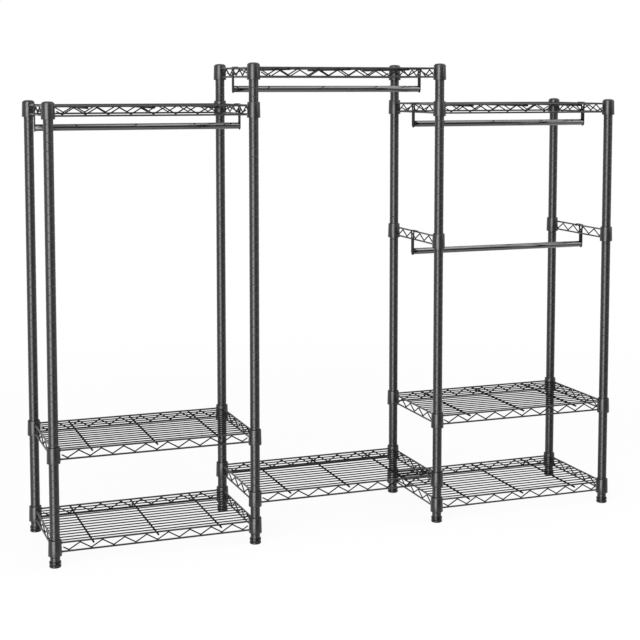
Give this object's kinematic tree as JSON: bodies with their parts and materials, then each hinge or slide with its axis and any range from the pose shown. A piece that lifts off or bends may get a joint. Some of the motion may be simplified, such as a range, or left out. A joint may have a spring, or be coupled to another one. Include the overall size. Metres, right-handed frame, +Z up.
{
  "type": "open frame wardrobe",
  "caption": "Open steel wardrobe rack: wire shelves, side trusses and hanging rods held by tapered collars on round posts with levelling feet.",
  "frame": {"origin": "on the floor under the middle of the rack, half way between the outer posts and between the front and rear posts", "axes": "+X to the right seen from the front, +Y towards the back, +Z up; the front faces -Y"},
  "size_m": [1.855, 0.39, 1.4505],
  "materials": {
    "powder_coat": "satin dark grey powder coat",
    "rod_coat": "smoother satin dark grey powder coat",
    "sleeve_plastic": "fine matte",
    "cap_plastic": "fine matte",
    "foot_plastic": "satin",
    "insert_zinc": "zinc plated"
  },
  "bodies": {
    "posts": {"post_1_front": "powder_coat", "post_1_rear": "powder_coat", "post_2_front": "powder_coat", "post_2_rear": "powder_coat", "post_3_front": "powder_coat", "post_3_rear": "powder_coat", "post_4_front": "powder_coat", "post_4_rear": "powder_coat", "cap_1_front": "cap_plastic", "cap_1_rear": "cap_plastic", "cap_2_front": "cap_plastic", "cap_2_rear": "cap_plastic", "cap_3_front": "cap_plastic", "cap_3_rear": "cap_plastic", "cap_4_front": "cap_plastic", "cap_4_rear": "cap_plastic", "insert_1_front": "insert_zinc", "insert_1_rear": "insert_zinc", "insert_2_front": "insert_zinc", "insert_2_rear": "insert_zinc", "insert_3_front": "insert_zinc", "insert_3_rear": "insert_zinc", "insert_4_front": "insert_zinc", "insert_4_rear": "insert_zinc"},
    "foot_1_front": {"foot_1_front": "foot_plastic"},
    "foot_1_rear": {"foot_1_rear": "foot_plastic"},
    "foot_2_front": {"foot_2_front": "foot_plastic"},
    "foot_2_rear": {"foot_2_rear": "foot_plastic"},
    "foot_3_front": {"foot_3_front": "foot_plastic"},
    "foot_3_rear": {"foot_3_rear": "foot_plastic"},
    "foot_4_front": {"foot_4_front": "foot_plastic"},
    "foot_4_rear": {"foot_4_rear": "foot_plastic"},
    "left_bottom_shelf": {"shelf_left_bottom": "powder_coat"},
    "left_middle_shelf": {"shelf_left_middle": "powder_coat"},
    "left_top_shelf": {"shelf_left_top": "powder_coat"},
    "left_top_rail": {"rod_left_top": "rod_coat", "hanger_left_top_left": "powder_coat", "hanger_left_top_right": "powder_coat"},
    "centre_bottom_shelf": {"shelf_centre_bottom": "powder_coat"},
    "centre_top_shelf": {"shelf_centre_top": "powder_coat"},
    "centre_top_rail": {"rod_centre_top": "rod_coat", "hanger_centre_top_left": "powder_coat", "hanger_centre_top_right": "powder_coat"},
    "right_bottom_shelf": {"shelf_right_bottom": "powder_coat"},
    "right_middle_shelf": {"shelf_right_middle": "powder_coat"},
    "right_top_shelf": {"shelf_right_top": "powder_coat"},
    "right_top_rail": {"rod_right_top": "rod_coat", "hanger_right_top_left": "powder_coat", "hanger_right_top_right": "powder_coat"},
    "inner_side_frame": {"side_frame_inner": "powder_coat"},
    "outer_side_frame": {"side_frame_outer": "powder_coat"},
    "right_lower_rail": {"rod_right_lower": "rod_coat", "hanger_right_lower_left": "powder_coat", "hanger_right_lower_right": "powder_coat"}
  },
  "joints": [
    {"name": "foot_1_front_screw", "type": "slide", "parent": "posts", "child": "foot_1_front", "axis": [0, 0, -1], "range_m": [0, 0.01]},
    {"name": "foot_1_rear_screw", "type": "slide", "parent": "posts", "child": "foot_1_rear", "axis": [0, 0, -1], "range_m": [0, 0.01]},
    {"name": "foot_2_front_screw", "type": "slide", "parent": "posts", "child": "foot_2_front", "axis": [0, 0, -1], "range_m": [0, 0.01]},
    {"name": "foot_2_rear_screw", "type": "slide", "parent": "posts", "child": "foot_2_rear", "axis": [0, 0, -1], "range_m": [0, 0.01]},
    {"name": "foot_3_front_screw", "type": "slide", "parent": "posts", "child": "foot_3_front", "axis": [0, 0, -1], "range_m": [0, 0.01]},
    {"name": "foot_3_rear_screw", "type": "slide", "parent": "posts", "child": "foot_3_rear", "axis": [0, 0, -1], "range_m": [0, 0.01]},
    {"name": "foot_4_front_screw", "type": "slide", "parent": "posts", "child": "foot_4_front", "axis": [0, 0, -1], "range_m": [0, 0.01]},
    {"name": "foot_4_rear_screw", "type": "slide", "parent": "posts", "child": "foot_4_rear", "axis": [0, 0, -1], "range_m": [0, 0.01]},
    {"name": "left_bottom_shelf_height", "type": "slide", "parent": "posts", "child": "left_bottom_shelf", "axis": [0, 0, 1], "range_m": [0, 0.034]},
    {"name": "left_middle_shelf_height", "type": "slide", "parent": "posts", "child": "left_middle_shelf", "axis": [0, 0, 1], "range_m": [0, 0.89]},
    {"name": "left_top_shelf_height", "type": "slide", "parent": "posts", "child": "left_top_shelf", "axis": [0, 0, 1], "range_m": [0, 0.02]},
    {"name": "left_top_rail_lift", "type": "slide", "parent": "left_top_shelf", "child": "left_top_rail", "axis": [0, 0, 1], "range_m": [0, 0.012]},
    {"name": "centre_bottom_shelf_height", "type": "slide", "parent": "posts", "child": "centre_bottom_shelf", "axis": [0, 0, 1], "range_m": [0, 0.14]},
    {"name": "centre_top_shelf_height", "type": "slide", "parent": "posts", "child": "centre_top_shelf", "axis": [0, 0, 1], "range_m": [0, 0.06]},
    {"name": "centre_top_rail_lift", "type": "slide", "parent": "centre_top_shelf", "child": "centre_top_rail", "axis": [0, 0, 1], "range_m": [0, 0.012]},
    {"name": "right_bottom_shelf_height", "type": "slide", "parent": "posts", "child": "right_bottom_shelf", "axis": [0, 0, 1], "range_m": [0, 0.034]},
    {"name": "right_middle_shelf_height", "type": "slide", "parent": "posts", "child": "right_middle_shelf", "axis": [0, 0, 1], "range_m": [0, 0.48]},
    {"name": "right_top_shelf_height", "type": "slide", "parent": "posts", "child": "right_top_shelf", "axis": [0, 0, 1], "range_m": [0, 0.02]},
    {"name": "right_top_rail_lift", "type": "slide", "parent": "right_top_shelf", "child": "right_top_rail", "axis": [0, 0, 1], "range_m": [0, 0.012]},
    {"name": "inner_side_frame_height", "type": "slide", "parent": "posts", "child": "inner_side_frame", "axis": [0, 0, 1], "range_m": [0, 0.31]},
    {"name": "outer_side_frame_height", "type": "slide", "parent": "posts", "child": "outer_side_frame", "axis": [0, 0, 1], "range_m": [0, 0.31]},
    {"name": "right_lower_rail_lift", "type": "slide", "parent": "inner_side_frame", "child": "right_lower_rail", "axis": [0, 0, 1], "range_m": [0, 0.012]}
  ],
  "couplings": [
    {"joint": "outer_side_frame_height", "follows": "inner_side_frame_height", "ratio": 1}
  ]
}
